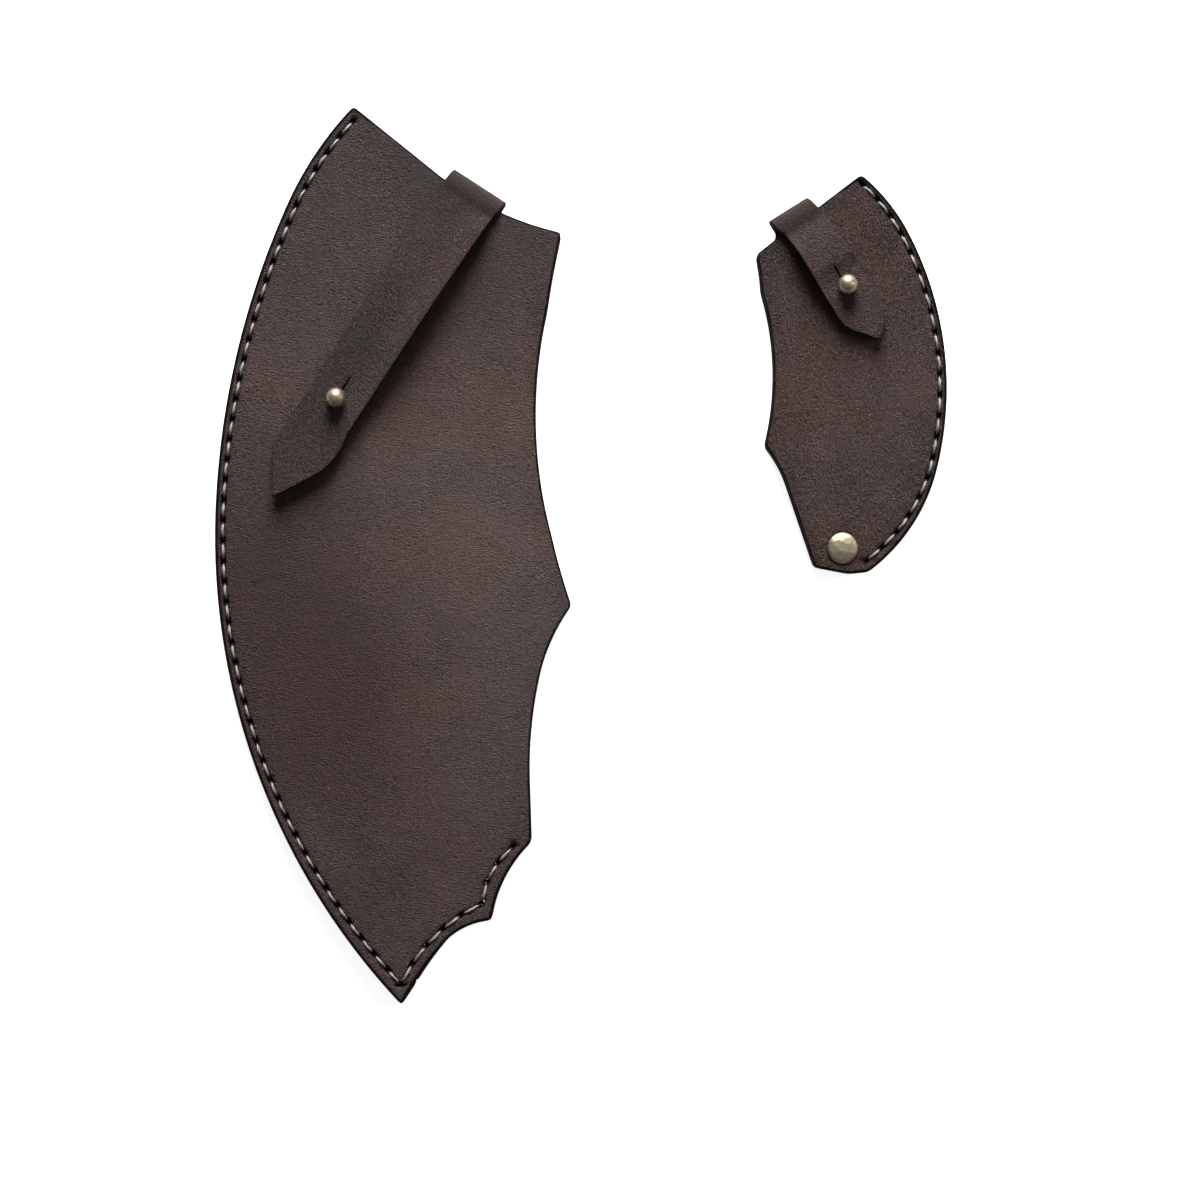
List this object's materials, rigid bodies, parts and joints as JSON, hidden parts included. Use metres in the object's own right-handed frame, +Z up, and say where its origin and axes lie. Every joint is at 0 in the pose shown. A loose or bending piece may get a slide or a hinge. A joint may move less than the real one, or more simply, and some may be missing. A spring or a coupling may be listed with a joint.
{
  "type": "leather blade cover set",
  "caption": "Pair of stitched leather sleeves, one crescent and one smaller, for a two-bladed head; each closes with a fold-over strap on a ball stud.",
  "frame": {"origin": "middle of the pair's bounding box, on the surface that both covers lie on", "axes": "+X from the large cover to the small one, +Y from the lower tips to the tops where the straps fold over, +Z up out of the front panels"},
  "size_m": [0.2198, 0.27, 0.017],
  "materials": {
    "panel_leather": "dark brown full-grain leather, waxed, satin, with burnished near-black edges",
    "strap_leather": "the same dark brown leather, creased where it folds",
    "welt_leather": "dark brown leather, burnished near-black edges",
    "waxed_thread": "waxed linen, matt",
    "stud_brass": "antique brass, polished ball",
    "rivet_brass": "antique brass, hammered and dull"
  },
  "bodies": {
    "large_cover": {"large_front_panel": "panel_leather", "large_back_panel": "panel_leather", "large_edge_welt_upper": "welt_leather", "large_edge_welt_lower": "welt_leather", "large_heel_welt_upper": "welt_leather", "large_heel_welt_lower": "welt_leather", "large_seam_thread": "waxed_thread", "large_strap_fold": "strap_leather", "large_stud": "stud_brass", "large_stud_screw": "stud_brass"},
    "large_strap": {"large_strap": "strap_leather"},
    "small_cover": {"small_front_panel": "panel_leather", "small_back_panel": "panel_leather", "small_edge_welt_upper": "welt_leather", "small_edge_welt_lower": "welt_leather", "small_corner_spacer_upper": "welt_leather", "small_corner_spacer_lower": "welt_leather", "small_seam_thread": "waxed_thread", "small_strap_fold": "strap_leather", "small_stud": "stud_brass", "small_stud_screw": "stud_brass", "small_rivet_cap": "rivet_brass", "small_rivet_base": "rivet_brass"},
    "small_strap": {"small_strap": "strap_leather"}
  },
  "joints": [
    {"name": "large_strap_hinge", "type": "hinge", "parent": "large_cover", "child": "large_strap", "pos_m": [-0.03137, 0.11022, 0.00565], "axis": [-0.8387, 0.5446, 0], "range_deg": [0, 170], "deforming": ["large_strap_fold"]},
    {"name": "small_cover_apart", "type": "slide", "parent": "large_cover", "child": "small_cover", "axis": [1, 0, 0], "range_m": [0, 0.1]},
    {"name": "small_strap_hinge", "type": "hinge", "parent": "small_cover", "child": "small_strap", "pos_m": [0.06251, 0.10284, 0.00565], "axis": [-0.848, -0.5299, 0], "range_deg": [0, 170], "deforming": ["small_strap_fold"]}
  ]
}
